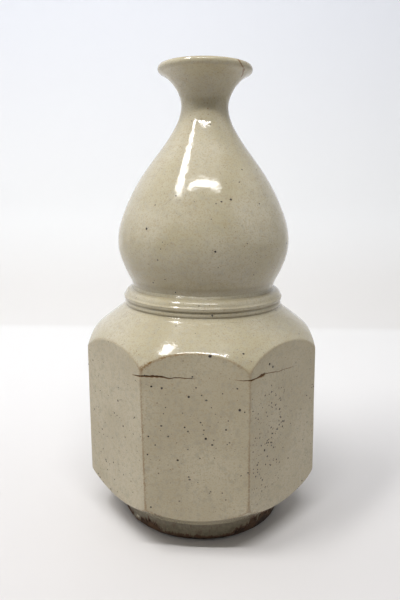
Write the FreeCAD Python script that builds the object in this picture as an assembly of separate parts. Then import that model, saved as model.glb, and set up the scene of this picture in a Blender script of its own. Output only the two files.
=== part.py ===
import FreeCAD, Part
import os
from math import cos, hypot, radians, sin, tan

# A faceted, gourd-shaped stoneware sake bottle.
#
# The clay body is thrown in sections: a foot ring, a floor disc, a wall that is then cut into eight
# flat facets, a domed shoulder, a two-roll ring at the waist, an upper bulb, and a flared neck.
# The sections are luted edge to edge with slip. One glaze coat covers the outside down to the foot,
# and another lines the inside.
#
# Millimetres. +Z is up, the origin is the centre of the foot on the ground, and the front is -Y.
# Outlines are half-sections in the XZ plane, given as (radius, height).

# Glaze and foot
GLAZE = 0.5
GLAZE_END_HEIGHT = 4.0
FOOT_HEIGHT = 7.0
FOOT_RADIUS_AT_GROUND = 44.8
FOOT_RADIUS_AT_TOP = 47.3
FOOT_TOP = 10.3
RECESS_RADIUS_AT_GROUND = 37.2
RECESS_RADIUS_AT_FLOOR = 36.0

# Lower body: a turned bevel, a wall and a domed shoulder, before the facets are cut
BELLY_EDGE = (49.2, 12.0)
BEVEL_SLOPE = 41.0
BEVEL_ROUND = 12.0
WALL_RADIUS = 64.9
SHOULDER_START = 86.48
SHOULDER_ROUND = 26.0
SHOULDER_SLOPE = 37.0

# Facets, each as (direction it faces in degrees from the front towards +X, distance from the axis
# low down, distance from the axis high up). They are cut by hand, so they lean a little.
FACETS = [
    (-50.2, 56.8, 58.2), (-3.6, 58.0, 58.0), (46.3, 58.0, 57.0), (94.2, 60.1, 57.4),
    (136.0, 59.1, 58.3), (178.2, 58.9, 58.9), (222.0, 58.7, 59.1), (264.3, 59.1, 58.7),
]
FACET_LOW = 20.0
FACET_HIGH = 100.0

# Ring at the waist: a narrow bead, a groove, a broad roll with a shallow dip, and a low flat top
RING_FOOT = (41.9, 116.78)
BEAD_CREST = (42.4, 118.3)
RING_GROOVE = (41.4, 119.8)
ROLL_CREST = (42.8, 121.1)
ROLL_EDGE = (42.35, 122.2)
ROLL_DIP = (42.05, 123.0)
RIM_EDGE = (41.45, 124.1)
RIM_END = (40.4, 124.95)
RING_TOP = (39.3, 125.35)
WAIST_CREASE = (38.0, 125.5)

# Upper bulb, neck and lip
BULB_AND_NECK = [
    WAIST_CREASE, (38.6, 128.5), (40.3, 132.3), (42.7, 137.5), (45.6, 149.5), (42.7, 164.0),
    (34.2, 181.5), (25.2, 194.0), (16.8, 206.0), (12.1, 219.0), (15.6, 228.5), (23.3, 235.0),
]
LIP_EDGE = (24.2, 236.9)
LIP_CREST = (22.7, 238.75)
LIP_INSIDE = (20.9, 237.9)

# Hollow inside
FLOOR_HEIGHT = 13.0
CHAMBER_RADIUS = 51.5
CHAMBER_FLOOR_ROUND = 10.0
CHAMBER_DOME_START = 96.0
CHAMBER_DOME_ROUND = 12.0
PASSAGE_RADIUS = 30.0
PASSAGE_TOP = 126.0
BULB_HOLLOW = [
    (PASSAGE_RADIUS, PASSAGE_TOP), (37.0, 137.0), (40.1, 149.5), (37.4, 163.0),
    (29.0, 180.0), (20.0, 193.0), (12.0, 204.0), (8.0, 212.0),
]
THROAT_RADIUS = 8.0
THROAT_BOTTOM = 212.0
THROAT_TOP = 226.0
MOUTH_HOLLOW = [(THROAT_RADIUS, THROAT_TOP), (10.0, 230.0), (14.6, 234.0)]
MOUTH_SLOPE_START_RADIUS = 19.4

# Luted seams between the sections. Each is bevelled, so that one section seats in the next.
FLOOR_SEAM = [(52.0, 9.2), (38.0, 14.6)]
SHOULDER_SEAM = [(70.0, 92.5), (56.5, 92.5), (48.0, 97.5)]
RING_BORE = 36.4
RING_SEAM_START = 50.0
PASSAGE_SEAM = (28.0, 123.5)
NECK_SEAM = [(22.0, 203.5), (6.0, 209.0)]

ARC_TOLERANCE = 0.1
ABOVE_BOTTLE = 260.0
BELOW_GROUND = -3.0
BEYOND_WALL = 80.0


def point(place):
    radius, height = place
    return FreeCAD.Vector(radius, 0, height)


def line(start, end):
    return Part.LineSegment(point(start), point(end)).toShape()


def arc(start, middle, end):
    return Part.Arc(point(start), point(middle), point(end)).toShape()


def curve(places):
    """A smooth curve through the places, as a chain of arcs that run on from one another."""
    spline = Part.BSplineCurve()
    spline.interpolate([point(place) for place in places])
    return [piece.toShape() for piece in spline.toBiArcs(ARC_TOLERANCE)]


def on_circle(centre, radius, degrees):
    """The place on a circle at an angle above the outward horizontal."""
    angle = radians(degrees)
    return (centre[0] + radius * cos(angle), centre[1] + radius * sin(angle))


def round_stretch(centre, radius, start, end):
    """An arc of a circle between two angles above the outward horizontal."""
    middle = (start + end) / 2
    return arc(*[on_circle(centre, radius, angle) for angle in (start, middle, end)])


def polygon(places):
    corners = [point(place) for place in places]
    return Part.Face(Part.makePolygon(corners + corners[:1]))


def turned(face):
    """The face turned once about the bottle's axis."""
    return face.revolve(FreeCAD.Vector(0, 0, 0), FreeCAD.Vector(0, 0, 1), 360)


def bevel_centre():
    """Centre of the round between the bevel and the wall."""
    tangent = on_circle((WALL_RADIUS - BEVEL_ROUND, 0), BEVEL_ROUND, BEVEL_SLOPE - 90)
    rise = (tangent[0] - BELLY_EDGE[0]) * tan(radians(BEVEL_SLOPE))
    return (WALL_RADIUS - BEVEL_ROUND, BELLY_EDGE[1] + rise - tangent[1])


def outside_outline():
    """The glazed outside, from below the foot to just inside the lip."""
    foot_top = (FOOT_RADIUS_AT_TOP, FOOT_TOP)
    undercut = (FOOT_RADIUS_AT_TOP + 0.6, FOOT_TOP + 1.3)
    foot_lean = (FOOT_RADIUS_AT_TOP - FOOT_RADIUS_AT_GROUND) / FOOT_TOP
    foot_start = (FOOT_RADIUS_AT_GROUND + foot_lean * BELOW_GROUND, BELOW_GROUND)
    bevel_round = bevel_centre()
    bevel_end = on_circle(bevel_round, BEVEL_ROUND, BEVEL_SLOPE - 90)
    shoulder_round = (WALL_RADIUS - SHOULDER_ROUND, SHOULDER_START)
    shoulder_angle = 90 - SHOULDER_SLOPE
    shoulder_end = on_circle(shoulder_round, SHOULDER_ROUND, shoulder_angle)
    return Part.Wire([
        line(foot_start, foot_top),
        arc(foot_top, undercut, BELLY_EDGE),
        line(BELLY_EDGE, bevel_end),
        round_stretch(bevel_round, BEVEL_ROUND, BEVEL_SLOPE - 90, 0),
        line((WALL_RADIUS, bevel_round[1]), (WALL_RADIUS, SHOULDER_START)),
        round_stretch(shoulder_round, SHOULDER_ROUND, 0, shoulder_angle),
        line(shoulder_end, RING_FOOT),
        arc(RING_FOOT, BEAD_CREST, RING_GROOVE),
        arc(RING_GROOVE, ROLL_CREST, ROLL_EDGE),
        line(ROLL_EDGE, ROLL_DIP),
        arc(ROLL_DIP, RIM_EDGE, RIM_END),
        arc(RIM_END, RING_TOP, WAIST_CREASE),
        *curve(BULB_AND_NECK),
        arc(BULB_AND_NECK[-1], LIP_EDGE, LIP_CREST),
        line(LIP_CREST, LIP_INSIDE),
    ])


def hollow_outline():
    """The glazed inside, from the middle of the floor up to just inside the lip."""
    floor_round = (CHAMBER_RADIUS - CHAMBER_FLOOR_ROUND, FLOOR_HEIGHT + CHAMBER_FLOOR_ROUND)
    dome_round = (CHAMBER_RADIUS - CHAMBER_DOME_ROUND, CHAMBER_DOME_START)
    dome_angle = 90 - SHOULDER_SLOPE
    dome_end = on_circle(dome_round, CHAMBER_DOME_ROUND, dome_angle)
    passage_start_radius = PASSAGE_RADIUS + 2.5
    dome_rise = (dome_end[0] - passage_start_radius) * tan(radians(SHOULDER_SLOPE))
    slope_end = (passage_start_radius, dome_end[1] + dome_rise)
    passage_round = (PASSAGE_RADIUS + 0.6, slope_end[1] + 2.0)
    passage_start = (PASSAGE_RADIUS, slope_end[1] + 4.0)
    lip_slope = (LIP_CREST[1] - LIP_INSIDE[1]) / (LIP_CREST[0] - LIP_INSIDE[0])
    lip_run = LIP_INSIDE[0] - MOUTH_SLOPE_START_RADIUS
    mouth_slope_start = (MOUTH_SLOPE_START_RADIUS, LIP_INSIDE[1] - lip_run * lip_slope)
    return Part.Wire([
        line((0, FLOOR_HEIGHT), (floor_round[0], FLOOR_HEIGHT)),
        round_stretch(floor_round, CHAMBER_FLOOR_ROUND, -90, 0),
        line((CHAMBER_RADIUS, floor_round[1]), (CHAMBER_RADIUS, CHAMBER_DOME_START)),
        round_stretch(dome_round, CHAMBER_DOME_ROUND, 0, dome_angle),
        line(dome_end, slope_end),
        arc(slope_end, passage_round, passage_start),
        line(passage_start, (PASSAGE_RADIUS, PASSAGE_TOP)),
        *curve(BULB_HOLLOW),
        line((THROAT_RADIUS, THROAT_BOTTOM), (THROAT_RADIUS, THROAT_TOP)),
        *curve(MOUTH_HOLLOW + [mouth_slope_start]),
        line(mouth_slope_start, LIP_INSIDE),
    ])


def offset(outline, depth):
    """The open outline moved sideways by depth, measured square to itself."""
    return outline.makeOffset2D(depth, join=0, openResult=True)


def filled_to_axis(outline):
    """The solid between the outline and the axis, closed level with the outline's two ends."""
    start = outline.OrderedVertexes[0].Point
    end = outline.OrderedVertexes[-1].Point
    cap = [line((end.x, end.z), (0, end.z)), line((0, end.z), (0, start.z))]
    if start.x > 0:
        cap.append(line((0, start.z), (start.x, start.z)))
    return turned(Part.Face(Part.Wire(outline.OrderedEdges + cap)))


def hollow_space(outline):
    """The space inside the hollow outline, carried on up through the mouth."""
    start = outline.OrderedVertexes[0].Point
    end = outline.OrderedVertexes[-1].Point
    edges = list(outline.OrderedEdges)
    if (end - point(LIP_INSIDE)).Length > 0.001:
        edges.append(line((end.x, end.z), LIP_INSIDE))
    above_lip = (LIP_INSIDE[0], ABOVE_BOTTLE)
    edges.append(line(LIP_INSIDE, above_lip))
    edges.append(line(above_lip, (0, ABOVE_BOTTLE)))
    edges.append(line((0, ABOVE_BOTTLE), (0, start.z)))
    return turned(Part.Face(Part.Wire(edges)))


def facet_cut(facing, low, high, depth):
    """The block behind one facet, its cut face moved in by depth."""
    lean = (high - low) / (FACET_HIGH - FACET_LOW)
    at_ground = low - lean * FACET_LOW - depth * hypot(1, lean)
    at_top = at_ground + lean * ABOVE_BOTTLE
    block = polygon([
        (-BEYOND_WALL, 0), (at_ground, 0), (at_top, ABOVE_BOTTLE), (-BEYOND_WALL, ABOVE_BOTTLE),
    ])
    block.translate(FreeCAD.Vector(0, -BEYOND_WALL, 0))
    block = block.extrude(FreeCAD.Vector(0, 2 * BEYOND_WALL, 0))
    return block.rotate(FreeCAD.Vector(0, 0, 0), FreeCAD.Vector(0, 0, 1), facing - 90)


def facet_prism(depth):
    """Eight-sided block between the ground and the space above, its sides moved in by depth."""
    blocks = [facet_cut(facing, low, high, depth) for facing, low, high in FACETS]
    prism = blocks[0]
    for block in blocks[1:]:
        prism = prism.common(block)
    return prism


def foot_recess():
    """The shallow space that the foot ring surrounds."""
    return turned(polygon([
        (0, BELOW_GROUND),
        (RECESS_RADIUS_AT_GROUND, BELOW_GROUND),
        (RECESS_RADIUS_AT_GROUND, 0),
        (RECESS_RADIUS_AT_FLOOR, FOOT_HEIGHT),
        (0, FOOT_HEIGHT),
    ]))


def ring_seam():
    """The seam under and behind the waist ring, from outside the shoulder in and up to the crease."""
    fall = tan(radians(SHOULDER_SLOPE))
    outer = (RING_SEAM_START, RING_FOOT[1] - (RING_SEAM_START - RING_FOOT[0]) * fall)
    inner = (RING_BORE, RING_FOOT[1] + (RING_FOOT[0] - RING_BORE) * fall)
    return [outer, inner, (RING_BORE, WAIST_CREASE[1])]


def section_regions():
    """Half-sections of the regions that the seams divide the clay into, by section name."""
    ring_outer, ring_inner, ring_top = ring_seam()
    floor_outer, floor_inner = FLOOR_SEAM
    wall_outer, wall_step, wall_inner = SHOULDER_SEAM
    neck_outer, neck_inner = NECK_SEAM
    return {
        "foot_ring": [
            (0, 0), (floor_outer[0], 0), (floor_outer[0], FOOT_HEIGHT), (0, FOOT_HEIGHT),
        ],
        "base_disc": [
            (0, FOOT_HEIGHT), (floor_outer[0], FOOT_HEIGHT), floor_outer, floor_inner,
            (0, floor_inner[1]),
        ],
        "faceted_wall": [
            floor_inner, floor_outer, (wall_outer[0], floor_outer[1]), wall_outer, wall_step,
            wall_inner, (floor_inner[0], wall_inner[1]),
        ],
        "shoulder_dome": [
            wall_inner, wall_step, wall_outer, (wall_outer[0], ring_outer[1]), ring_outer,
            ring_inner, PASSAGE_SEAM, (0, PASSAGE_SEAM[1]), (0, wall_inner[1]),
        ],
        "waist_ring": [
            ring_outer, (BEYOND_WALL, ring_outer[1]), (BEYOND_WALL, ring_top[1]), ring_top,
            ring_inner,
        ],
        "upper_bulb": [
            PASSAGE_SEAM, ring_inner, ring_top, (BEYOND_WALL, ring_top[1]),
            (BEYOND_WALL, neck_outer[1]), neck_outer, neck_inner, (0, neck_inner[1]),
            (0, PASSAGE_SEAM[1]),
        ],
        "flared_neck": [
            neck_inner, neck_outer, (BEYOND_WALL, neck_outer[1]), (BEYOND_WALL, ABOVE_BOTTLE),
            (0, ABOVE_BOTTLE), (0, neck_inner[1]),
        ],
    }


def build():
    """Every piece of the bottle, by name."""
    outside = outside_outline()
    inside = hollow_outline()
    drinkable_space = hollow_space(inside)
    unlined_space = hollow_space(offset(inside, -GLAZE))
    glazed_block = filled_to_axis(outside).common(facet_prism(0))
    clay_block = filled_to_axis(offset(outside, GLAZE)).common(facet_prism(GLAZE))
    clay = clay_block.cut(unlined_space).cut(foot_recess())

    pieces = {}
    for name, region in section_regions().items():
        pieces[name] = clay.common(turned(polygon(region)))

    bare_foot = turned(polygon([
        (0, BELOW_GROUND), (BEYOND_WALL, BELOW_GROUND),
        (BEYOND_WALL, GLAZE_END_HEIGHT), (0, GLAZE_END_HEIGHT),
    ]))
    pieces["outer_glaze"] = glazed_block.cut(clay_block).cut(unlined_space).cut(bare_foot)
    pieces["inner_glaze"] = unlined_space.cut(drinkable_space).common(glazed_block)
    return pieces


def main():
    os.makedirs("parts", exist_ok=True)
    for name, shape in build().items():
        shape.exportStep(os.path.join("parts", name + ".step"))
        print(name, "solids", len(shape.Solids), "valid", shape.isValid(),
              "volume", round(shape.Volume / 1000, 2), "cm3")


main()
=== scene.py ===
from math import atan2, cos, pi, radians, sin

import bmesh
import bpy
import numpy as np
from mathutils import Matrix, Vector


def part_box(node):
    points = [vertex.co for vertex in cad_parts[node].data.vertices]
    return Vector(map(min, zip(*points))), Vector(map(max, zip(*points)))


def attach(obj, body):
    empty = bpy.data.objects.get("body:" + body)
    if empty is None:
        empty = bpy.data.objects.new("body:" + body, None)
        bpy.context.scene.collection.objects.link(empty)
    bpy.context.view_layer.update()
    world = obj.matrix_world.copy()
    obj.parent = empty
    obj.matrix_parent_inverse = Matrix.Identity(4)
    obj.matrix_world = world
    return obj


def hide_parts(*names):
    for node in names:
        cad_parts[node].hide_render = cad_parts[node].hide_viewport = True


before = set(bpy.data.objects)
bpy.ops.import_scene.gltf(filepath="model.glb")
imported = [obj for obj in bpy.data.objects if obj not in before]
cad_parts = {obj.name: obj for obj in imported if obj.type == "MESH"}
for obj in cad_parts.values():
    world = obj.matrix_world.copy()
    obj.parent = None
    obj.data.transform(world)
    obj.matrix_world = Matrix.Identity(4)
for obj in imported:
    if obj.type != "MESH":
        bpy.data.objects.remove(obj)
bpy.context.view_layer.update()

# The looks of a glazed, faceted, gourd-shaped stoneware sake bottle.
#
# Meshes are worked out in millimetres in the shared frame: +Z up, the ground at 0, the front at -Y.
# Angles go round from the front towards +X, in degrees. The outlines and facets are read off the CAD
# nodes, and the glaze, clay and specks are then built over them at full detail.

MM = 0.001
SEED = 11


# ---------------------------------------------------------------- camera

# Focal length and place in millimetres, the place from the middle of the foot, and turns in degrees
CAMERA_LENS = 32.8
CAMERA_DISTANCE = 295.9
CAMERA_HEIGHT = 178.7
CAMERA_DIP = 11.71
CAMERA_TURN = -0.30
CAMERA_TILT = 0.53

camera = bpy.data.objects.new("camera", bpy.data.cameras.new("camera"))
bpy.context.scene.collection.objects.link(camera)
bpy.context.scene.camera = camera
camera.data.lens = CAMERA_LENS
camera.data.sensor_width = 36
camera.data.clip_start = 0.01
dip, turn, tilt = radians(CAMERA_DIP), radians(CAMERA_TURN), radians(CAMERA_TILT)
ahead = Vector((sin(turn) * cos(dip), cos(turn) * cos(dip), -sin(dip)))
level_side = Vector((cos(turn), -sin(turn), 0))
level_up = level_side.cross(ahead)
side = cos(tilt) * level_side + sin(tilt) * level_up
up = -sin(tilt) * level_side + cos(tilt) * level_up
camera.matrix_world = Matrix.Translation((0, -CAMERA_DISTANCE * MM, CAMERA_HEIGHT * MM)) @ Matrix(
    (side, up, -ahead)).transposed().to_4x4()


# ---------------------------------------------------------------- sizes shared by the surfaces

GLAZE = 0.5
LINING = 0.45
# How round the glaze leaves the cut edges, and how far to each side of them it ran thin
EDGE_SOFTNESS = 0.18
THIN_EDGE_WIDTH = 0.5
# Outlines are followed at this step and softened by this much, and sharp turns stay corners
OUTLINE_STEP = 0.05
OUTLINE_SOFTNESS = 0.22
CORNER_ANGLE = 25
# A shell's hidden side has one row for every so many on its seen side
GLAZE_ROWS_PER_HIDDEN = 9
LINING_ROWS_PER_HIDDEN = 7


# ---------------------------------------------------------------- reading the CAD

# How far a triangle faces out or in, from -1 to 1, to count as part of a side
LEAST_FACING = 0.05
# What tells a facet's corners from the turned outline, and one level from the next, in millimetres
FACET_DIP = 0.3
CLOSE_LEVELS = 0.6
SAME_LEVEL = 0.015
# What tells a facet's large upright triangles from the small ones of turned faces
FACET_LEAST_AREA = 25.0
FACET_LEAST_FACING = 0.8
FACET_LEAN_LIMIT = 0.1


def corners_of(node):
    """The node's triangles as an array of corner places, in millimetres."""
    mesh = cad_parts[node].data
    mesh.calc_loop_triangles()
    places = np.empty(len(mesh.vertices) * 3)
    mesh.vertices.foreach_get("co", places)
    index = np.empty(len(mesh.loop_triangles) * 3, dtype=np.int32)
    mesh.loop_triangles.foreach_get("vertices", index)
    return places.reshape(-1, 3)[index].reshape(-1, 3, 3) / MM


def faces_of(node):
    """Corner places, unit normals, areas and how far outwards each triangle of the node faces."""
    corners = corners_of(node)
    cross = np.cross(corners[:, 1] - corners[:, 0], corners[:, 2] - corners[:, 0])
    length = np.linalg.norm(cross, axis=1)
    kept = length > 1e-6
    corners = corners[kept]
    normals = cross[kept] / length[kept, None]
    middle = corners.mean(axis=1)
    away = middle[:, :2] / np.maximum(np.hypot(middle[:, 0], middle[:, 1]), 1e-6)[:, None]
    outwards = (normals[:, :2] * away).sum(axis=1)
    return corners, normals, length[kept] / 2, outwards


def read_outline(node, inside):
    """The turned outline of one side of a node's wall, as (radius, height) places, lowest first."""
    corners, _, _, outwards = faces_of(node)
    facing = outwards < -LEAST_FACING if inside else outwards > LEAST_FACING
    places = corners[facing].reshape(-1, 3)
    height = places[:, 2].round(2)
    radius = np.hypot(places[:, 0], places[:, 1])
    levels = np.unique(height)
    radii = np.array([radius[height == level].max() for level in levels])
    # A level where only a facet's corners lie dips in between its close neighbours
    nearer_neighbour = np.minimum(radii[:-2], radii[2:])
    gap = levels[2:] - levels[:-2]
    off_the_outline = (radii[1:-1] < nearer_neighbour - FACET_DIP) & (gap < CLOSE_LEVELS)
    kept = np.concatenate([[True], ~off_the_outline, [True]])
    levels, radii = levels[kept], radii[kept]
    # Of two levels that are nearly one, the wider stays
    nearly_one = np.diff(levels) < SAME_LEVEL
    smaller = np.where(radii[1:] < radii[:-1], np.arange(1, len(radii)), np.arange(len(radii) - 1))
    dropped = np.unique(smaller[nearly_one])
    return np.delete(np.stack([radii, levels], axis=1), dropped, axis=0)


def read_facets(node):
    """The node's flat outside facets as rows of (direction, distance at the ground, lean)."""
    corners, normals, areas, outwards = faces_of(node)
    upright = np.abs(normals[:, 2]) < FACET_LEAN_LIMIT
    flat = (outwards > FACET_LEAST_FACING) & (areas > FACET_LEAST_AREA) & upright
    groups = {}
    for corner, normal, area in zip(corners[flat], normals[flat], areas[flat]):
        direction = round(np.degrees(atan2(normal[0], -normal[1])))
        groups.setdefault(direction, []).append((area, normal, corner[0]))
    facets = []
    for members in groups.values():
        _, normal, place = max(members, key=lambda member: member[0])
        level = np.hypot(normal[0], normal[1])
        facets.append((
            np.degrees(atan2(normal[0], -normal[1])),
            normal @ place / level,
            -normal[2] / level,
        ))
    return sorted(facets)


def smooth_outline(places, softness):
    """The outline at close, even steps, curved through its places and softened as glaze softens."""
    steps = np.hypot(*np.diff(places, axis=0).T)
    along = np.concatenate([[0], np.cumsum(steps)])
    slopes = np.diff(places, axis=0) / steps[:, None]
    before, after = steps[:-1, None], steps[1:, None]
    tangents = (slopes[:-1] * after + slopes[1:] * before) / (before + after)
    corner = ((slopes[:-1] * slopes[1:]).sum(axis=1) < cos(radians(CORNER_ANGLE)))[:, None]
    leaving = np.concatenate([slopes[:1], np.where(corner, slopes[1:], tangents)])
    arriving = np.concatenate([np.where(corner, slopes[:-1], tangents), slopes[-1:]])
    wanted = np.arange(0, along[-1], OUTLINE_STEP)
    piece = np.clip(np.searchsorted(along, wanted, side="right") - 1, 0, len(steps) - 1)
    span = steps[piece][:, None]
    share = (wanted - along[piece])[:, None] / span
    curve = (
        (2 * share**3 - 3 * share**2 + 1) * places[piece]
        + (share**3 - 2 * share**2 + share) * span * leaving[piece]
        + (3 * share**2 - 2 * share**3) * places[piece + 1]
        + (share**3 - share**2) * span * arriving[piece]
    )
    reach = int(4 * softness / OUTLINE_STEP)
    offsets = np.arange(-reach, reach + 1) * OUTLINE_STEP
    weights = np.exp(-0.5 * (offsets / softness) ** 2)
    weights /= weights.sum()
    first, last = curve[:1], curve[-1:]
    padded = np.concatenate([
        first + (first - curve[reach:0:-1]), curve, last + (last - curve[-2:-reach - 2:-1]),
    ])
    return np.stack([np.convolve(padded[:, axis], weights, "valid") for axis in (0, 1)], axis=1)


def facing_of(path):
    """The outward direction at each place of a path that runs upwards, as (radius, height) parts."""
    run = np.gradient(path, axis=0)
    run /= np.linalg.norm(run, axis=1)[:, None]
    return np.stack([run[:, 1], -run[:, 0]], axis=1)


def thinned(path, spacings):
    """Places of a path at wider steps. Each spacing is (up to this height, step)."""
    along = np.arange(len(path)) * OUTLINE_STEP
    kept = [0]
    for index in range(1, len(path)):
        step = next((step for top, step in spacings if path[index, 1] < top), spacings[-1][1])
        if along[index] - along[kept[-1]] >= step:
            kept.append(index)
    return np.array(kept)


# ---------------------------------------------------------------- shape helpers

def noise(places, size, seed):
    """Smooth random values from -1 to 1 at each place, changing over about size millimetres."""
    cells = 32
    table = np.random.default_rng(seed).uniform(-1, 1, (cells, cells, cells))
    scaled = places / size
    low = np.floor(scaled).astype(int)
    share = scaled - low
    share = share * share * (3 - 2 * share)
    value = np.zeros(places.shape[:-1])
    for step in np.ndindex(2, 2, 2):
        weight = np.prod(np.where(step, share, 1 - share), axis=-1)
        corner = (low + step) % cells
        value += weight * table[corner[..., 0], corner[..., 1], corner[..., 2]]
    return value


def bump_at(value, centre, width):
    """A smooth bump of height 1 at centre."""
    return np.exp(-0.5 * ((value - centre) / width) ** 2)


def step_up(value, low, high):
    """0 below low, 1 above high, and smooth between."""
    share = np.clip((value - low) / (high - low), 0, 1)
    return share * share * (3 - 2 * share)


def between(height, start, rise, end, fall):
    """1 between two heights, with a smooth rise after the first and fall before the second."""
    return step_up(height, start, start + rise) * (1 - step_up(height, end - fall, end))


def placed(angle, radius, height):
    """Places at an angle from the front, a radius from the axis and a height."""
    turn = np.radians(angle)
    return np.stack(np.broadcast_arrays(radius * np.sin(turn), -radius * np.cos(turn), height), axis=-1)


def build_mesh(name, places, faces, attributes):
    """A smooth-shaded mesh object from places in millimetres."""
    mesh = bpy.data.meshes.new(name)
    mesh.from_pydata((places.reshape(-1, 3) * MM).tolist(), [], faces)
    mesh.polygons.foreach_set("use_smooth", [True] * len(mesh.polygons))
    for key, values in attributes.items():
        layer = mesh.attributes.new(key, "FLOAT", "POINT")
        layer.data.foreach_set("value", values.astype(np.float32).ravel())
    mesh.update()
    thing = bpy.data.objects.new(name, mesh)
    bpy.context.scene.collection.objects.link(thing)
    return thing


def grid_faces(rows, columns):
    """Quads of a grid of places that closes on itself both ways."""
    row = np.arange(rows)[:, None]
    column = np.arange(columns)[None, :]
    next_row = (row + 1) % rows
    next_column = (column + 1) % columns
    quads = np.stack([
        row * columns + column, row * columns + next_column,
        next_row * columns + next_column, next_row * columns + column,
    ], axis=-1)
    return quads.reshape(-1, 4).tolist()


def closed_shell(name, outside, inside, attributes):
    """A shell from two grids of places, rows running upwards, joined along their first and last rows."""
    back = inside[::-1]
    places = np.concatenate([outside, back])
    filled = {
        key: np.concatenate([values, np.zeros(back.shape[:2])]) for key, values in attributes.items()
    }
    return build_mesh(name, places, grid_faces(*places.shape[:2]), filled)


# ---------------------------------------------------------------- the outside glaze

facets = read_facets("outer_glaze")
outline = read_outline("outer_glaze", inside=False)
lining_outline = read_outline("inner_glaze", inside=True)
lip_inside = lining_outline[-1:]
outside_path = smooth_outline(np.concatenate([outline, lip_inside]), OUTLINE_SOFTNESS)
outside_facing = facing_of(outside_path)
CREST = int(outside_path[:, 1].argmax())
rising_heights = np.maximum.accumulate(outside_path[:CREST, 1])
ring_low, ring_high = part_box("waist_ring")
WAIST_CREASE = ring_high[2] / MM
ring_stretch = np.flatnonzero((rising_heights > ring_low[2] / MM) & (rising_heights < WAIST_CREASE))
widening = np.diff(outside_path[ring_stretch, 0]) > 0
RING_START = rising_heights[ring_stretch[int(widening.argmax())]]
RING_GROOVE = RING_START + 2.9
RING_ROLL_RIDGE = RING_START + 4.45


def turned_radius(height):
    """The turned outline's radius at each height."""
    return np.interp(height, rising_heights, outside_path[:CREST, 0])


def facing_at(height):
    """How far outwards, rather than up or down, the turned outline faces at each height."""
    return np.interp(height, rising_heights, outside_facing[:CREST, 0])


# Where a facet's plane turns away past this cosine it cuts nothing, and its radius is put far outside
FACET_REACH = 0.3
UNCUT = 1000


def cut_radius(angle, height):
    """Radius of the faceted body, how close each place is to a cut edge, and how far onto a facet."""
    turned = turned_radius(height) + np.zeros_like(angle)
    cuts = []
    for direction, distance, lean in facets:
        cosine = np.cos(np.radians(angle - direction))
        plane = (distance + lean * height) / np.maximum(cosine, FACET_REACH)
        cuts.append(np.where(cosine > FACET_REACH, plane, UNCUT))
    radii = np.stack([turned] + cuts)
    nearest = radii.min(axis=0)
    radius = nearest - EDGE_SOFTNESS * np.log(np.exp((nearest - radii) / EDGE_SOFTNESS).sum(axis=0))
    share = np.exp((nearest - radii) / THIN_EDGE_WIDTH)
    edge = np.clip(2 - 2 / share.sum(axis=0), 0, 1)
    on_facet = step_up(turned - np.stack(cuts).min(axis=0), -0.2, 0.4)
    return radius, edge, on_facet


# No dent goes deeper than this, so that the clay under the glaze stays covered
DEEPEST_CUT = 0.46
# Firing crack along the luted seam, in two branches: angle, height, half-width and depth share
CRACK_DEPTH = 0.48
CRACK_LIP = 0.12
CRACK_LEFT = [
    (-34, 91.6, 0.0, 0), (-31, 92.0, 0.16, 1), (-27, 92.8, 0.50, 1), (-22, 93.0, 0.62, 1),
    (-17, 92.7, 0.56, 1), (-15, 92.2, 0.30, 1), (-11, 92.6, 0.20, 0.9), (-6, 92.4, 0.16, 0.7),
    (-1, 92.4, 0.0, 0),
]
CRACK_RIGHT = [
    (13, 92.4, 0.0, 0), (17, 92.3, 0.18, 0.8), (21, 92.3, 0.32, 1), (25, 92.5, 0.36, 1),
    (26.6, 92.6, 0.80, 1), (28.8, 92.7, 0.90, 1), (30.2, 93.0, 0.20, 0.7), (40, 91.7, 0.12, 0.5),
    (50, 91.4, 0.10, 0.4), (60, 91.2, 0.0, 0),
]


def crack(angle, height):
    """How open the firing crack is at each place, from 0 to 1."""
    along = placed(angle, 60.0, 0.0 * angle)
    open_share = np.zeros_like(angle)
    for branch in (CRACK_LEFT, CRACK_RIGHT):
        stops, levels, widths, depths = np.array(branch).T
        wander = 0.16 * noise(along, 1.3, SEED) + 0.12 * noise(along, 3.5, SEED)
        level = np.interp(angle, stops, levels) + wander
        width = np.interp(angle, stops, widths) * (1 + 0.45 * noise(along, 0.9, SEED + 1))
        depth = np.interp(angle, stops, depths)
        inside = 1 - ((height - level) / np.maximum(width, 0.03)) ** 2
        open_share = np.maximum(open_share, np.where(width > 0.03, np.clip(1.6 * inside, 0, 1) * depth, 0))
    return open_share


# Stretches of the cut edges where the glaze ran thin and toasted: angle, height, reach and strength
TOASTED_EDGES = [
    (-24, 97, 7, 1.0), (-16, 102, 9, 0.9), (-4, 104.5, 12, 0.65), (-27, 60, 28, 0.80), (-26, 20, 9, 1.0),
    (13, 101, 9, 0.60), (21, 85, 12, 0.70), (21, 40, 24, 0.75), (150, 98, 14, 0.8), (200, 103, 12, 0.6),
    (-115, 98, 12, 0.7),
]
TOAST_ELSEWHERE = 0.26


def toasted(places):
    """How strongly the thin glaze of a cut edge is toasted at each place, from 0 to 1."""
    share = np.full(places.shape[:-1], TOAST_ELSEWHERE)
    for direction, height, reach, strength in TOASTED_EDGES:
        middle = placed(np.array(direction), 60.0, height)
        away = np.linalg.norm((places - middle) * [1.0, 1.0, 0.7], axis=-1)
        share = np.maximum(share, strength * (1 - step_up(away, 0.4 * reach, 1.3 * reach)))
    return share * (0.75 + 0.35 * noise(places, 3.0, SEED + 25))


# A fine throwing ridge on the shoulder, just under the waist ring
RIDGE_AT = 115.5
RIDGE_WIDTH = 0.28
RIDGE_HEIGHT = 0.22

# The roll of glaze that gathered along the body's bottom edge
EDGE_ROLL = 0.35
EDGE_ROLL_AT = 12.7

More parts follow.
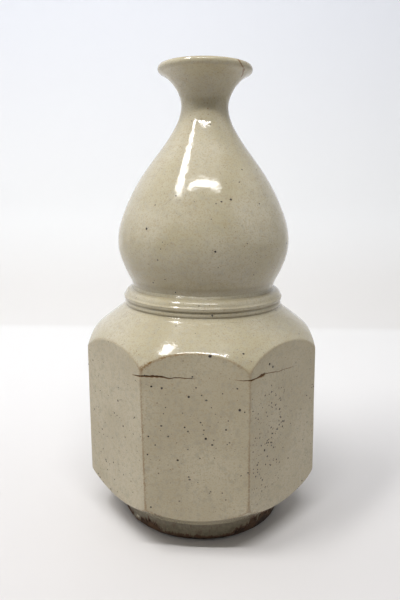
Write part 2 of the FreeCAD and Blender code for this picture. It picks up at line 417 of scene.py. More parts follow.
# Bare clay at the foot: the glaze stops low down, and higher over a few toasted patches
GLAZE_END = 1.6
GLAZE_END_LIMITS = (1.2, 8.6)
GLAZE_END_THINNING = 0.4
BARE_PATCHES = [
    (-64, 12, 3.2), (-36, 9, 3.6), (30, 8, 3.0), (46, 13, 6.0), (66, 8, 5.0), (96, 12, 3.0),
    (151, 16, 4.0), (203, 8, 2.0), (262, 13, 4.2),
]


def glaze_end(angle):
    """Height at which the glaze stops, all round the foot."""
    along = placed(angle, 45.0, 0.0 * angle)
    height = GLAZE_END + 0.5 * noise(along, 7.0, SEED + 2) + 0.35 * noise(along, 1.8, SEED + 3)
    for direction, width, rise in BARE_PATCHES:
        away = (angle - direction + 180) % 360 - 180
        ragged = 1 + 0.35 * noise(along, 2.2, SEED + 4) + 0.70 * noise(along, 0.9, SEED + 18)
        height = height + rise * ragged * step_up(width - np.abs(away), -1.5, 3.0)
    return np.clip(height, *GLAZE_END_LIMITS)


def ripples(angle, height, size, seed):
    """The shallow rings and slow swell that throwing leaves, from -1 to 1."""
    rings = noise(placed(0.25 * angle, 12.0, height * 8.0), size * 8.0, seed)
    swell = noise(placed(angle, 40.0, height), 38.0, seed + 1)
    return 0.6 * rings + 0.4 * swell


def body_angles(count):
    """Angles of the body's columns: closest at the cut corners, and closer round the front."""
    fine = np.arange(-180, 180, 0.05)
    _, edge, _ = cut_radius(fine, 60.0)
    density = 1 + 1.4 * step_up(80 - np.abs(fine), 0, 10) + 7 * edge
    total = np.cumsum(density)
    return np.interp(np.arange(count) / count * total[-1], total, fine)


BODY_COLUMNS = 480
TURNED_COLUMNS = 384
LINING_COLUMNS = 240
FOOT_COLUMNS = 320
FLOOR_COLUMNS = 200
# Steps between rows, each as (up to this height, step): closest where the form turns or is cracked
BODY_STEPS = [
    (10.3, 0.6), (12.1, 0.25), (20, 0.9), (31, 0.45), (90.8, 2.2), (94, 0.13), (105.5, 0.38),
    (114, 1.1), (117, 0.18),
]
RING_STEPS = [(WAIST_CREASE + 1, 0.14)]
UPPER_STEPS = [(134, 0.4), (206, 0.8), (230, 0.5), (260, 0.25)]
LINING_STEPS = [(196, 1.6), (260, 0.5)]
# The body's rows start here on the foot, and those under the second height follow the glaze's end
BODY_START = 4.05
FOOT_ROWS_TOP = 9.6
# The foot's dark glaze fades out between these heights
FOOT_GLAZE_END = (10.2, 11.4)
# Stretches as between() takes them: where throwing rings show, and where the cut edges' glaze ran thin
RIPPLED_BODY = (11.5, 2.5, 116.0, 1.5)
THIN_EDGES = (17, 6, 108, 2)
# The bulb's relief ends under the lip at this height, and the lining's and the underside's between these
BULB_RELIEF_END = 236.5
LINING_RELIEF_END = (234.0, 236.0)
UNDERSIDE_RELIEF_END = (7.2, 7.8)


def path_index(height):
    """Which place of the outside path is the first at or above a height."""
    return int(np.searchsorted(rising_heights, height))


def hidden_rows(count, every):
    """Which of a shell's rows its hidden side has too, always with the first and the last."""
    return np.unique(np.append(np.arange(0, count, every), count - 1))


def body_relief(clean, angle, height, on_facet, on_foot):
    """How far the faceted body's glaze stands out from its clean shape, apart from its crack and end."""
    on_shoulder = (1 - on_facet) * between(height, *RIPPLED_BODY)
    relief = 0.16 * on_facet * noise(clean, 24.0, SEED + 5)
    relief += 0.035 * on_facet * noise(clean, 5.0, SEED + 6)
    relief += 0.10 * on_shoulder * ripples(angle, height, 4.0, SEED + 7)
    relief += RIDGE_HEIGHT * bump_at(height, RIDGE_AT, RIDGE_WIDTH)
    relief += on_foot * (0.20 * noise(clean, 2.6, SEED + 8) + 0.10 * noise(clean, 0.9, SEED + 9))
    relief += EDGE_ROLL * bump_at(height, EDGE_ROLL_AT, 0.7) * (0.7 + 0.3 * noise(clean, 9.0, SEED + 19))
    return relief


def make_lower_glaze():
    """The glaze over the foot, the facets and the shoulder, up to the waist ring."""
    start, end = path_index(BODY_START), path_index(RING_START)
    path = outside_path[start:end]
    rows = path[thinned(path, BODY_STEPS), 1]
    rows = np.append(rows, rising_heights[end])
    angle, height = np.meshgrid(body_angles(BODY_COLUMNS), rows)
    stop = glaze_end(angle)
    low_part = height < FOOT_ROWS_TOP
    share = (height - rows[0]) / (FOOT_ROWS_TOP - rows[0])
    height = np.where(low_part, stop + share * (FOOT_ROWS_TOP - stop), height)
    radius, edge, on_facet = cut_radius(angle, height)
    clean = placed(angle, radius, height)
    on_foot = 1 - step_up(height, *FOOT_GLAZE_END)
    split = crack(angle, height)
    surface = radius + body_relief(clean, angle, height, on_facet, on_foot)
    surface -= GLAZE_END_THINNING * (1 - step_up(height - stop, 0, 0.9)) * low_part
    surface += CRACK_LIP * bump_at(split, 0.12, 0.08) * (split > 0.005)
    surface -= CRACK_DEPTH * split
    surface = np.maximum(surface, radius - DEEPEST_CUT)
    facing = np.where(on_facet > 0.5, 0.97, np.clip(facing_at(height), 0.4, 1))
    backing = placed(angle, radius - GLAZE / facing, height)[hidden_rows(len(rows), GLAZE_ROWS_PER_HIDDEN)]
    return closed_shell("lower_glaze", placed(angle, surface, height), backing, {
        "edge": edge * between(height, *THIN_EDGES),
        "toast": toasted(clean),
        "crack": split,
        "facet": on_facet,
        "foot": on_foot,
        "bare": on_foot * (1 - step_up(height - stop, 0.2, 3.4)),
        # Darker glaze in the crease under the ring: partly pooled glaze, partly painted shade
        "pool_and_shade": bump_at(height, RING_START - 0.1, 0.45),
    })


def make_turned_glaze(name, start, end, steps, texture):
    """A stretch of the turned glaze, from one place on the outline to another."""
    path, facing = outside_path[start:end], outside_facing[start:end]
    kept = np.unique(np.append(thinned(path, steps), len(path) - 1))
    path, facing = path[kept], facing[kept]
    angle, row = np.meshgrid(np.linspace(-180, 180, TURNED_COLUMNS, endpoint=False), np.arange(len(path)))
    radius, height = path[row, 0], path[row, 1]
    facing_out, facing_up = facing[row, 0], facing[row, 1]
    lift = texture(angle, radius, height)
    outside = placed(angle, radius + lift * facing_out, height + lift * facing_up)
    backing = placed(angle, radius - GLAZE * facing_out, height - GLAZE * facing_up)
    backing = backing[hidden_rows(len(path), GLAZE_ROWS_PER_HIDDEN)]
    return closed_shell(name, outside, backing, {"pool_and_shade": pooled_glaze_and_shade(height), "stain": lip_stain(angle, height)})


def pooled_glaze_and_shade(height):
    """Where the waist's glaze is darker, from 0 to 1: pooled glaze and painted shade in the ring's two
    creases and the hollow above the ring, and a line of painted shade above that.
    """
    creases = bump_at(height, RING_START, 0.40) + bump_at(height, RING_GROOVE, 0.38)
    hollow = 0.55 * between(height, WAIST_CREASE - 0.9, 0.5, 131.0, 2.0)
    # A line of painted shade along the bulb just above the ring
    line_above = 0.45 * bump_at(height, 130.2, 0.7)
    return np.clip(creases + hollow + line_above, 0, 1)


# A rusty firing crack over the lip, then along under its edge: angle, height, half-width
LIP_STAIN = [
    (40.5, 238.7, 0.30), (42, 237.8, 0.34), (44.5, 236.6, 0.36), (47, 235.9, 0.24), (52, 235.2, 0.12),
    (58, 234.4, 0.20), (64, 233.6, 0.26), (70, 232.6, 0.30), (73, 231.6, 0.0),
]
LIP_SPOTS = [(56, 237.7, 0.42), (7, 216.5, 0.30), (7.4, 213.6, 0.24), (6.8, 219.0, 0.22)]


def lip_stain(angle, height):
    """How rusty the glaze is at each place of the neck and lip, from 0 to 1."""
    radius = np.maximum(turned_radius(np.minimum(height, rising_heights[-1])), 12.0)
    wander = 0.35 * noise(placed(angle, radius, height), 1.6, SEED + 26)
    share = np.zeros_like(height)
    for first, last in zip(LIP_STAIN[:-1], LIP_STAIN[1:]):
        run = np.radians(last[0] - first[0]) * radius
        rise = last[1] - first[1]
        across = np.radians(angle - first[0]) * radius
        along = np.clip((across * run + (height - first[1]) * rise) / (run**2 + rise**2), 0, 1)
        away = np.hypot(across - along * run, height - first[1] - along * rise) + wander
        width = first[2] + along * (last[2] - first[2])
        share = np.maximum(share, np.clip(1.5 - np.maximum(away, 0) / np.maximum(width, 0.02), 0, 1))
    for direction, level, width in LIP_SPOTS:
        away = np.hypot(np.radians(angle - direction) * radius, height - level)
        share = np.maximum(share, np.clip(1.6 - away / width, 0, 1))
    return share


def ring_texture(angle, radius, height):
    """Relief of the waist ring: a ridge along its roll, glaze gathered thick in its groove, and slow waves.
    """
    places = placed(angle, radius, height)
    ridge = 0.17 * bump_at(height, RING_ROLL_RIDGE, 0.28)
    pooled_glaze = 0.38 * bump_at(height, RING_GROOVE, 0.45)
    waves = 0.05 * noise(places, 9.0, SEED + 12) + 0.03 * noise(places, 2.4, SEED + 13)
    return between(height, RING_START, 0.8, WAIST_CREASE, 0.7) * (ridge + pooled_glaze + waves)


def bulb_texture(angle, radius, height):
    """Relief of the bulb and neck: throwing rings under a slightly uneven glaze."""
    places = placed(angle, radius, height)
    fine = 0.016 * noise(places, 1.8, SEED + 14) + 0.03 * noise(places, 6.0, SEED + 15)
    rings = 0.09 * ripples(angle, height, 4.5, SEED + 16)
    waves = 0.05 * noise(places, 14.0, SEED + 17)
    return between(height, WAIST_CREASE, 1.6, BULB_RELIEF_END, 2.0) * (rings + fine + waves)


lower_glaze = make_lower_glaze()
ring_glaze = make_turned_glaze(
    "waist_ring_glaze", path_index(RING_START), path_index(WAIST_CREASE) + 1, RING_STEPS, ring_texture)
upper_glaze = make_turned_glaze(
    "upper_glaze", path_index(WAIST_CREASE), len(outside_path), UPPER_STEPS, bulb_texture)
for piece in (lower_glaze, ring_glaze, upper_glaze):
    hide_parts("outer_glaze")
    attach(piece, "root")


# ---------------------------------------------------------------- the inside glaze and the foot

def make_turned_solid(name, path, columns, texture):
    """A solid turned from a path that closes on itself."""
    facing = facing_of(path)
    angle, row = np.meshgrid(np.linspace(-180, 180, columns, endpoint=False), np.arange(len(path)))
    radius, height = path[row, 0], path[row, 1]
    lift = texture(angle, radius, height)
    places = placed(angle, np.maximum(radius + lift * facing[row, 0], 0.02), height + lift * facing[row, 1])
    return build_mesh(name, places, grid_faces(*places.shape[:2]), {})


def make_inside_glaze():
    """The glaze that lines the inside, from the middle of the floor to the lip."""
    centre_of_floor = np.array([[0.05, lining_outline[0, 1]]])
    path = smooth_outline(np.concatenate([centre_of_floor, lining_outline]), OUTLINE_SOFTNESS)
    facing = facing_of(path)
    kept = np.unique(np.append(thinned(path, LINING_STEPS), len(path) - 1))
    path, facing = path[kept], facing[kept]
    angle, row = np.meshgrid(np.linspace(180, -180, LINING_COLUMNS, endpoint=False), np.arange(len(path)))
    radius, height = path[row, 0], path[row, 1]
    swell = (1 - step_up(height, *LINING_RELIEF_END)) * step_up(radius, 2, 8)
    lift = 0.12 * swell * ripples(angle, height, 5.0, SEED + 20)
    inside = placed(angle, radius - lift, height)
    backing_radius = np.maximum(radius + LINING * facing[row, 0], 0.05)
    backing = placed(angle, backing_radius, height + LINING * facing[row, 1])
    backing = backing[hidden_rows(len(path), LINING_ROWS_PER_HIDDEN)]
    return closed_shell("inside_glaze", inside, backing, {})


def closed_path(places, step):
    """Even steps round a closed outline."""
    loop = np.concatenate([places, places[:1]])
    along = np.concatenate([[0], np.cumsum(np.hypot(*np.diff(loop, axis=0).T))])
    wanted = np.linspace(0, along[-1], int(along[-1] / step), endpoint=False)
    return np.stack([np.interp(wanted, along, loop[:, axis]) for axis in (0, 1)], axis=1)


def worn(path, passes):
    """A closed path with its corners rubbed round."""
    for _ in range(passes):
        path = (np.roll(path, 1, axis=0) + 2 * path + np.roll(path, -1, axis=0)) / 4
    return path


def foot_texture(angle, radius, height):
    """Relief of the foot's bare clay, which is worn flat at the ground."""
    places = placed(angle, radius, height)
    above_ground = step_up(height, 0.0, 0.5)
    return above_ground * (0.10 * noise(places, 3.0, SEED + 21) + 0.06 * noise(places, 0.9, SEED + 22))


def recess_texture(angle, radius, height):
    """Trimming rings under the floor, with a shallow dimple at their middle."""
    places = placed(angle, radius, height)
    rings = noise(placed(0.15 * angle, 6.0, radius * 6.0), 3.2 * 6.0, SEED + 23)
    grit = 0.06 * noise(places, 1.2, SEED + 24)
    dimple = 0.12 * bump_at(radius, 0, 2.0)
    underside = 1 - step_up(height, *UNDERSIDE_RELIEF_END)
    return underside * (0.14 * rings + grit - dimple)


def make_foot_ring():
    """The foot's bare clay, with its edges worn round."""
    outer = read_outline("foot_ring", inside=False)
    inner = read_outline("foot_ring", inside=True)
    path = worn(closed_path(np.concatenate([outer, inner[::-1]]), 0.35), 10)
    return make_turned_solid("foot_ring_clay", path, FOOT_COLUMNS, foot_texture)


def make_base_disc():
    """The clay of the floor, whose underside shows inside the foot."""
    edge = read_outline("base_disc", inside=False)
    bottom, top = edge[0, 1], edge[-1, 1]
    path = closed_path(np.concatenate([[[0.02, bottom]], edge, [[0.02, top]]]), 0.45)
    return make_turned_solid("floor_clay", path, FLOOR_COLUMNS, recess_texture)


inside_glaze = make_inside_glaze()
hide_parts("inner_glaze")
foot_clay = make_foot_ring()
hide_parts("foot_ring")
floor_clay = make_base_disc()
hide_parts("base_disc")
for piece in (inside_glaze, foot_clay, floor_clay):
    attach(piece, "root")


# ---------------------------------------------------------------- iron specks

# Larger specks and pinholes that stand out: angle, height, radius
MARKED_SPECKS = [
    (12, 172, 0.50), (19, 173, 0.58), (37, 187, 0.45), (29, 181, 0.38), (0, 186, 0.35),
    (-35, 170, 0.38), (42, 171, 0.34), (7, 149.5, 0.45), (9, 142, 0.34), (-26, 150, 0.30),
    (-26, 135, 0.34), (-2.5, 123.2, 0.34), (-20, 128.5, 0.45), (16.5, 78, 0.62), (18.5, 77, 0.52),
    (33, 97, 0.62), (35.5, 95, 0.55), (31, 54, 0.55), (40.5, 45.5, 0.50), (50.5, 42.5, 0.55),
    (2, 63, 0.50), (5, 60, 0.46), (-11, 51.5, 0.50), (-22.5, 88, 0.52), (-6, 83.5, 0.46),
    (19, 103.8, 0.62), (3.5, 103.6, 0.75), (-53, 103, 0.50),
]
# Scattered specks: how many, from which angle to which, between which heights
SCATTERED_SPECKS = [
    (230, 21, 46, 20, 84), (100, 21, 71, 18, 95), (80, -26, 21, 18, 95), (110, -74, -27, 18, 95),
    (300, 72, 286, 20, 95), (70, -180, 180, 97, 125), (90, -180, 180, 130, 215), (6, -180, 180, 228, 236),
]
SMALLEST_SPECK = 0.20
SPECK_RANGE = 0.46
MARKED_SPECK_GROWTH = 1.25
SPECK_SINK = 0.62
SPECK_FLATNESS = 0.42
ALL_TURNED_ABOVE = 108


def surface_place(angle, height):
    """A place on the outside of the glaze."""
    spot = np.array([angle]), np.array([height])
    radius = turned_radius(spot[1]) if height > ALL_TURNED_ABOVE else cut_radius(*spot)[0]
    return placed(spot[0], radius, spot[1])[0]


def surface_facing(angle, height):
    """The direction that the outside of the glaze faces at a place."""
    step = 0.3
    up = surface_place(angle, height + step) - surface_place(angle, height - step)
    along = surface_place(angle + step, height) - surface_place(angle - step, height)
    facing = np.cross(along, up)
    return facing / np.linalg.norm(facing)


def small_sphere():
    """The places and triangles of a small round blob."""
    made = bpy.data.meshes.new("blob")
    ball = bmesh.new()
    bmesh.ops.create_icosphere(ball, subdivisions=2, radius=1.0)
    ball.to_mesh(made)
    ball.free()
    places = np.array([vertex.co for vertex in made.vertices])
    faces = np.array([list(polygon.vertices) for polygon in made.polygons])
    bpy.data.meshes.remove(made)
    return places, faces


def make_specks():
    """Iron specks that have burst through the glaze, as small flattened blobs sunk into it."""
    random = np.random.default_rng(SEED + 30)
    spots = [
        (angle, height, size * MARKED_SPECK_GROWTH, 1.0) for angle, height, size in MARKED_SPECKS
    ]
    for count, first, last, low, high in SCATTERED_SPECKS:
        for _ in range(count):
            size = SMALLEST_SPECK + SPECK_RANGE * random.random() ** 2
            shade = 0.15 + 0.80 * random.random()
            spots.append((random.uniform(first, last), random.uniform(low, high), size, shade))
    ball, ball_faces = small_sphere()
    places, faces, shades = [], [], []
    for angle, height, size, shade in spots:
        facing = surface_facing(angle, height)
        side = np.cross(facing, [0.0, 0.0, 1.0])
        side /= np.linalg.norm(side)
        up = np.cross(side, facing)
        lumps = 1 + 0.16 * noise(ball + angle, 0.8, SEED + 31)[:, None]
        blob = ball * lumps * size * [1.0, random.uniform(0.7, 1.1), SPECK_FLATNESS]
        centre = surface_place(angle, height) - facing * size * SPECK_FLATNESS * SPECK_SINK
        faces.append(ball_faces + len(places) * len(ball))
        places.append(centre + blob @ np.stack([side, up, facing]))
        shades.append(np.full(len(ball), shade))
    return build_mesh(
        "iron_specks", np.concatenate(places), np.concatenate(faces).tolist(),
        {"shade": np.concatenate(shades)})


iron_specks = make_specks()
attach(iron_specks, "root")


# ---------------------------------------------------------------- materials

def linear(red, green, blue):
    """A colour given as 0 to 255 sRGB values, as the linear values that shaders take."""
    return tuple(
        (value / 255 / 12.92) if value < 10.3 else ((value / 255 + 0.055) / 1.055) ** 2.4
        for value in (red, green, blue)
    ) + (1.0,)


class Shader:
    """A material's node tree with short ways to add what the surfaces here are made of."""

    def __init__(self, name):
        self.material = bpy.data.materials.new(name)
        self.material.use_nodes = True
        self.nodes = self.material.node_tree.nodes
        self.links = self.material.node_tree.links
        self.surface = self.nodes["Principled BSDF"]
        self.place = self.nodes.new("ShaderNodeTexCoord").outputs["Object"]

    def set(self, socket, value):
        """Puts a value or another node's output into a socket."""
        if isinstance(value, bpy.types.NodeSocket):
            self.links.new(value, socket)
        else:
            socket.default_value = value

    def stretched(self, across_share, up_share):
        """The object's own coordinates, drawn out sideways or upwards."""
        node = self.nodes.new("ShaderNodeMapping")
        self.set(node.inputs["Vector"], self.place)
        node.inputs["Scale"].default_value = (across_share, across_share, up_share)
        return node.outputs["Vector"]

    def clouds(self, size, detail=3.0, roughness=0.5, distortion=0.0, vector=None):
        """Noise that changes over about size millimetres, from 0 to 1."""
        node = self.nodes.new("ShaderNodeTexNoise")
        self.set(node.inputs["Vector"], vector or self.place)
        node.inputs["Scale"].default_value = 1 / (size * MM)
        node.inputs["Detail"].default_value = detail
        node.inputs["Roughness"].default_value = roughness
        node.inputs["Distortion"].default_value = distortion
        return node.outputs["Fac"]

    def grains(self, size):
        """Distance from the middle of the nearest grain, in grain sizes."""
        node = self.nodes.new("ShaderNodeTexVoronoi")
        self.set(node.inputs["Vector"], self.place)
        node.inputs["Scale"].default_value = 1 / (size * MM)
        return node.outputs["Distance"]

    def attribute(self, name):
        """A value that was stored with the mesh's places."""
        node = self.nodes.new("ShaderNodeAttribute")
        node.attribute_name = name
        return node.outputs["Fac"]

    def ranged(self, value, low, high, start=0.0, end=1.0):
        """The value's stretch from low to high, spread smoothly over start to end."""
        node = self.nodes.new("ShaderNodeMapRange")
        node.interpolation_type = "SMOOTHSTEP"
        self.set(node.inputs["Value"], value)
        node.inputs["From Min"].default_value = low
        node.inputs["From Max"].default_value = high
        node.inputs["To Min"].default_value = start
        node.inputs["To Max"].default_value = end
        return node.outputs["Result"]

    def worked(self, operation, first, second):
        """Two values added, multiplied or otherwise worked into one."""
        node = self.nodes.new("ShaderNodeMath")
        node.operation = operation
        self.set(node.inputs[0], first)
        self.set(node.inputs[1], second)
        return node.outputs[0]

    def mixed(self, share, first, second):
        """One colour over another."""
        node = self.nodes.new("ShaderNodeMix")
        node.data_type = "RGBA"
        first_colour, second_colour = node.inputs[6], node.inputs[7]
        self.set(node.inputs["Factor"], share)
        self.set(first_colour, first)
        self.set(second_colour, second)
        return node.outputs[2]

    def bumped(self, height, depth, below=None):
        """A normal with the height pressed into it, depth in millimetres."""
        node = self.nodes.new("ShaderNodeBump")
        node.inputs["Strength"].default_value = 1.0
        node.inputs["Distance"].default_value = depth * MM
        self.set(node.inputs["Height"], height)
        if below is not None:
            self.set(node.inputs["Normal"], below)
        return node.outputs["Normal"]

    def finish(self, colour, roughness, normal):
        """The material, with its surface's colour, roughness and normal put in."""
        self.set(self.surface.inputs["Base Color"], colour)
        self.set(self.surface.inputs["Roughness"], roughness)
        self.set(self.surface.inputs["Normal"], normal)
        return self.material


GLAZE_COLOUR = linear(176, 167, 140)
GLAZE_PALE = linear(185, 177, 155)
GLAZE_TAN = linear(163, 146, 114)
GLAZE_GREY = linear(166, 160, 143)
# Deep glaze colour, which also stands for painted shade in the waist's creases and hollow
GLAZE_POOL_AND_SHADE = linear(128, 118, 92)
FACET_COLOUR = linear(172, 161, 135)
FACET_PALE = linear(183, 173, 148)
FACET_GREY = linear(156, 149, 130)
EDGE_TAN = linear(128, 98, 58)
IRON_BROWN = linear(122, 88, 48)
DARK_BROWN = linear(84, 58, 30)
SPECK_GREY = linear(92, 88, 80)
FOOT_GREY = linear(126, 118, 98)
FOOT_OLIVE = linear(104, 96, 76)
BURNT = linear(84, 56, 32)
CLAY_BROWN = linear(96, 70, 46)
CLAY_DARK = linear(52, 40, 30)
BODY_CLAY_LIGHT = linear(146, 122, 94)
BODY_CLAY_DARK = linear(112, 92, 70)
IRON_BLACK = linear(30, 27, 25)


def speckled(shader, colour, size, low, high, patch_size, strength, tint):
    """Small dark dots over a colour, gathered in loose patches."""
    dots = shader.ranged(shader.grains(size), low, high, strength, 0)
    patches = shader.ranged(shader.clouds(patch_size, 2), 0.42, 0.62)
    return shader.mixed(shader.worked("MULTIPLY", dots, patches), colour, tint)


def glaze_surface(shader, facet_share, foot_share):
    """Colour, roughness and normal that every stretch of the glaze shares."""
    broad = shader.clouds(30, 2, 0.5)
    bands = shader.clouds(3.0, 3, 0.65, 0.4, shader.stretched(0.30, 1.0))
    mottle = shader.clouds(2.6, 3, 0.65, 0.4)
    fine = shader.clouds(0.75, 2, 0.6)
    colour = shader.mixed(shader.ranged(broad, 0.35, 0.68), GLAZE_COLOUR, GLAZE_PALE)
    colour = shader.mixed(shader.ranged(bands, 0.46, 0.74, 0, 0.24), colour, GLAZE_TAN)
    colour = shader.mixed(shader.ranged(mottle, 0.46, 0.72, 0, 0.60), colour, GLAZE_GREY)
    colour = shader.mixed(shader.ranged(fine, 0.48, 0.66, 0, 0.52), colour, GLAZE_TAN)
    facet = shader.mixed(shader.ranged(broad, 0.35, 0.70), FACET_COLOUR, FACET_PALE)
    facet = shader.mixed(shader.ranged(mottle, 0.46, 0.68, 0, 0.62), facet, FACET_GREY)
    facet = shader.mixed(shader.ranged(fine, 0.48, 0.66, 0, 0.55), facet, GLAZE_TAN)
    colour = shader.mixed(facet_share, colour, facet)
    colour = speckled(shader, colour, 1.7, 0.06, 0.19, 9, 0.62, SPECK_GREY)
    colour = speckled(shader, colour, 3.1, 0.05, 0.11, 14, 0.75, IRON_BROWN)
    patchy = shader.ranged(shader.clouds(2.2, 4, 0.7), 0.3, 0.7)
    foot = shader.mixed(patchy, FOOT_GREY, FOOT_OLIVE)
    drips = shader.clouds(1.9, 3, 0.7, 0.3, shader.stretched(1.0, 0.30))
    foot = shader.mixed(shader.ranged(drips, 0.50, 0.70, 0, 0.65), foot, CLAY_BROWN)
    colour = shader.mixed(foot_share, colour, foot)
    gloss = shader.ranged(shader.clouds(16, 3), 0.3, 0.7, 0.08, 0.14)
    matt = shader.ranged(shader.clouds(12, 3), 0.3, 0.7, 0.36, 0.48)
    difference = shader.worked("SUBTRACT", matt, gloss)
    roughness = shader.worked("ADD", gloss, shader.worked("MULTIPLY", difference, facet_share))
    roughness = shader.worked("ADD", roughness, shader.worked("MULTIPLY", foot_share, 0.30))
    normal = shader.bumped(shader.clouds(2.4, 2, 0.5), 0.075)
    normal = shader.bumped(shader.clouds(0.9, 2, 0.5), 0.030, normal)
    return colour, roughness, normal


def lower_glaze_material():
    """Glaze of the faceted body: matter on the facets, and toasted where it ran thin over the edges."""
    shader = Shader("faceted_glaze")
    facet, foot = shader.attribute("facet"), shader.attribute("foot")
    colour, roughness, normal = glaze_surface(shader, facet, foot)
    ragged = shader.ranged(shader.clouds(0.9, 3, 0.65), 0.25, 0.75, -0.40, 0.30)
    thin = shader.ranged(shader.worked("ADD", shader.attribute("edge"), ragged), 0.30, 0.95)
    toast = shader.worked("MULTIPLY", thin, shader.attribute("toast"))
    colour = shader.mixed(toast, colour, EDGE_TAN)
    streaks = shader.clouds(1.1, 3, 0.7, 0.2, shader.stretched(1.0, 0.22))
    burnt = shader.worked("ADD", shader.attribute("bare"), shader.ranged(streaks, 0.3, 0.7, -0.45, 0.35))
    colour = shader.mixed(shader.ranged(burnt, 0.42, 0.66), colour, BURNT)
    # Darker glaze in the crease under the ring: partly pooled glaze, partly painted shade
    colour = shader.mixed(shader.worked("MULTIPLY", shader.attribute("pool_and_shade"), 0.55), colour, GLAZE_POOL_AND_SHADE)
    split = shader.attribute("crack")
    colour = shader.mixed(shader.ranged(split, 0.02, 0.30, 0, 0.9), colour, IRON_BROWN)
    colour = shader.mixed(shader.ranged(split, 0.55, 1.1), colour, DARK_BROWN)
    roughness = shader.worked("ADD", roughness, shader.ranged(split, 0.1, 0.6, 0, 0.4))
    return shader.finish(colour, roughness, normal)


def turned_glaze_material(name):
    """Glossy glaze of the turned parts, darker in the waist's creases from pooled glaze and painted shade,
    and rusty at the lip's crack.
    """
    shader = Shader(name)
    colour, roughness, normal = glaze_surface(shader, 0.0, 0.0)
    # Darker glaze in the waist's creases and hollow: partly pooled glaze, partly painted shade
    colour = shader.mixed(shader.worked("MULTIPLY", shader.attribute("pool_and_shade"), 0.42), colour, GLAZE_POOL_AND_SHADE)
    colour = shader.mixed(shader.ranged(shader.attribute("stain"), 0.1, 0.8, 0, 0.85), colour, IRON_BROWN)
    return shader.finish(colour, roughness, normal)


def clay_material(name, light, dark):
    """Rough fired stoneware with grit in it."""
    shader = Shader(name)
    patches = shader.clouds(8, 4, 0.65, 0.5)
    grit = shader.grains(0.9)
    colour = shader.mixed(shader.ranged(patches, 0.35, 0.65), light, dark)
    colour = shader.mixed(shader.ranged(grit, 0.1, 0.35, 0.35, 0), colour, IRON_BLACK)
    roughness = shader.ranged(shader.clouds(2, 3), 0.3, 0.7, 0.72, 0.92)
    normal = shader.bumped(shader.clouds(0.8, 4, 0.7), 0.05)
    return shader.finish(colour, roughness, normal)


def speck_material():
    """Iron that burned through the glaze, from grey where glaze covers it to nearly black."""
    shader = Shader("iron_speck")
    colour = shader.mixed(shader.attribute("shade"), SPECK_GREY, IRON_BLACK)
    colour = shader.mixed(shader.ranged(shader.clouds(0.3, 2), 0.45, 0.7, 0, 0.4), colour, IRON_BROWN)
    roughness = shader.ranged(shader.clouds(0.5, 2), 0.3, 0.7, 0.3, 0.5)
    return shader.finish(colour, roughness, shader.bumped(shader.clouds(0.2, 2), 0.01))


def coat(thing, material):
    """Gives a piece one material and takes away any other."""
    thing.data.materials.clear()
    thing.data.materials.append(material)


bulb_glaze_material = turned_glaze_material("turned_glaze")
coat(lower_glaze, lower_glaze_material())
coat(ring_glaze, bulb_glaze_material)
coat(upper_glaze, bulb_glaze_material)
coat(inside_glaze, turned_glaze_material("lining_glaze"))
coat(iron_specks, speck_material())
toasted_clay = clay_material("toasted_foot_clay", CLAY_BROWN, CLAY_DARK)
coat(foot_clay, toasted_clay)
coat(floor_clay, toasted_clay)
body_clay = clay_material("body_clay", BODY_CLAY_LIGHT, BODY_CLAY_DARK)
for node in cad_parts.values():
    coat(node, body_clay)


# ---------------------------------------------------------------- studio

# The paper's colours grade darker towards the front, at the backdrop's foot and towards its top, as painted
# shade
FLOOR_NEAR_SHADED = linear(211, 208, 207)
FLOOR_FAR = linear(243, 242, 241)
BACKDROP_FOOT_SHADED = linear(235, 233, 231)
BACKDROP_LOW = linear(249, 250, 251)
BACKDROP_HIGH_SHADED = linear(231, 234, 242)

# The sweep, in metres: where its floor ends, how it bends up there, and its far edges. The floor is
# cut across in two more places, which keeps its smooth shading level up to the bend.
SWEEP_FLOOR_CUTS = [-0.4, 0.0]
SWEEP_BACK = 0.362
SWEEP_BEND = 0.16
SWEEP_BEND_PARTS = 24
SWEEP_TOP = 1.6
SWEEP_FRONT = -1.6
SWEEP_HALF_WIDTH = 2.2


def make_sweep():
    """Pale floor that curves up into a backdrop, with painted shade: darker towards the front, at the
    backdrop's foot and towards its top.
    """
    profile = [(along, 0.0) for along in [SWEEP_FRONT, *SWEEP_FLOOR_CUTS]]
    for turned in np.linspace(0, pi / 2, SWEEP_BEND_PARTS + 1):
        profile.append((SWEEP_BACK + SWEEP_BEND * sin(turned), SWEEP_BEND * (1 - cos(turned))))
    profile.append((SWEEP_BACK + SWEEP_BEND, SWEEP_TOP))
    places = [(x, y, z) for y, z in profile for x in (-SWEEP_HALF_WIDTH, SWEEP_HALF_WIDTH)]
    faces = [(2 * i, 2 * i + 1, 2 * i + 3, 2 * i + 2) for i in range(len(profile) - 1)]
    sweep = build_mesh("sweep", np.array(places) / MM, faces, {})
    shader = Shader("paper_with_painted_shade")
    split = shader.nodes.new("ShaderNodeSeparateXYZ")
    shader.set(split.inputs[0], shader.place)
    away, height = split.outputs[1], split.outputs[2]
    # Painted shade: the floor darkens towards the front, and the backdrop at its foot and towards its top
    floor = shader.mixed(shader.ranged(away, -0.20, 0.40), FLOOR_NEAR_SHADED, FLOOR_FAR)
    backdrop = shader.mixed(shader.ranged(height, 0.01, 0.15), BACKDROP_FOOT_SHADED, BACKDROP_LOW)
    backdrop = shader.mixed(shader.ranged(height, 0.10, 0.55), backdrop, BACKDROP_HIGH_SHADED)
    paper = shader.mixed(shader.ranged(height, 0.0003, 0.003), floor, backdrop)
    coat(sweep, shader.finish(paper, 0.8, shader.bumped(shader.clouds(2, 2), 0.01)))
    return sweep


# What the light panels face, in metres
AIM = Vector((0, 0, 0.16))


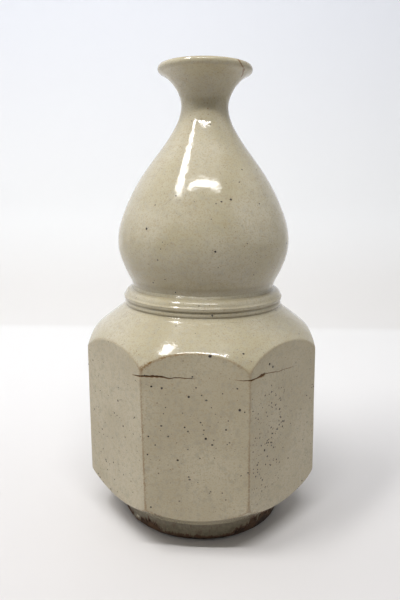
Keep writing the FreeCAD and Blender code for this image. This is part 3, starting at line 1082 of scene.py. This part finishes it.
def make_panel(name, middle, along, length, width, power):
    """A soft light panel that faces the bottle, its length lying along a direction."""
    light = bpy.data.lights.new(name, "AREA")
    light.shape = "RECTANGLE"
    light.size = length
    light.size_y = width
    light.energy = power
    panel = bpy.data.objects.new(name, light)
    bpy.context.scene.collection.objects.link(panel)
    away = middle.normalized()
    across = away.cross(along).normalized()
    turned = Matrix((across.cross(away), across, away)).transposed().to_4x4()
    panel.matrix_world = Matrix.Translation(middle + AIM) @ turned


def strip_between(name, first, last, distance, width, power):
    """A panel whose middle line runs between two directions from the bottle."""
    first, last = first.normalized() * distance, last.normalized() * distance
    make_panel(name, (first + last) / 2, last - first, (last - first).length, width, power)


def panel_towards(name, towards, distance, size, power):
    """A square panel at a distance from the bottle, in a direction."""
    middle = towards.normalized() * distance
    level = Vector((0, 0, 1)).cross(middle)
    make_panel(name, middle, level, size, size, power)


def direction_at(azimuth, elevation):
    """A direction from the bottle, given by degrees from the front towards +X and degrees up."""
    turn, rise = radians(azimuth), radians(elevation)
    return Vector((sin(turn) * cos(rise), -cos(turn) * cos(rise), sin(rise)))


make_sweep()
strip_between("overhead_panel", direction_at(-34, 56.4), direction_at(34, 56.4), 0.85, 0.036, 4.0)
strip_between("left_strip", Vector((-0.51, -0.44, 0.76)), Vector((-0.36, -0.05, 0.93)), 0.85, 0.10, 3.4)
panel_towards("overhead_fill", direction_at(0, 84), 1.1, 0.9, 1.4)
panel_towards("left_high_fill", Vector((-0.75, -0.10, 0.65)), 1.2, 1.6, 3.0)
panel_towards("left_back_fill", Vector((-0.80, 0.50, 0.40)), 1.0, 1.2, 2.3)
panel_towards("left_low_fill", Vector((-0.95, -0.20, 0.25)), 1.1, 0.7, 0.9)
panel_towards("right_fill", Vector((0.90, -0.10, 0.40)), 1.1, 1.1, 2.0)
panel_towards("right_high_fill", Vector((0.50, 0.0, 0.85)), 1.1, 0.8, 0.5)

world = bpy.data.worlds.new("studio")
bpy.context.scene.world = world
world.use_nodes = True
room_light = world.node_tree.nodes["Background"]
room_light.inputs["Color"].default_value = (0.96, 0.98, 1.0, 1.0)
room_light.inputs["Strength"].default_value = 0.08
bpy.context.scene.view_settings.view_transform = "Standard"
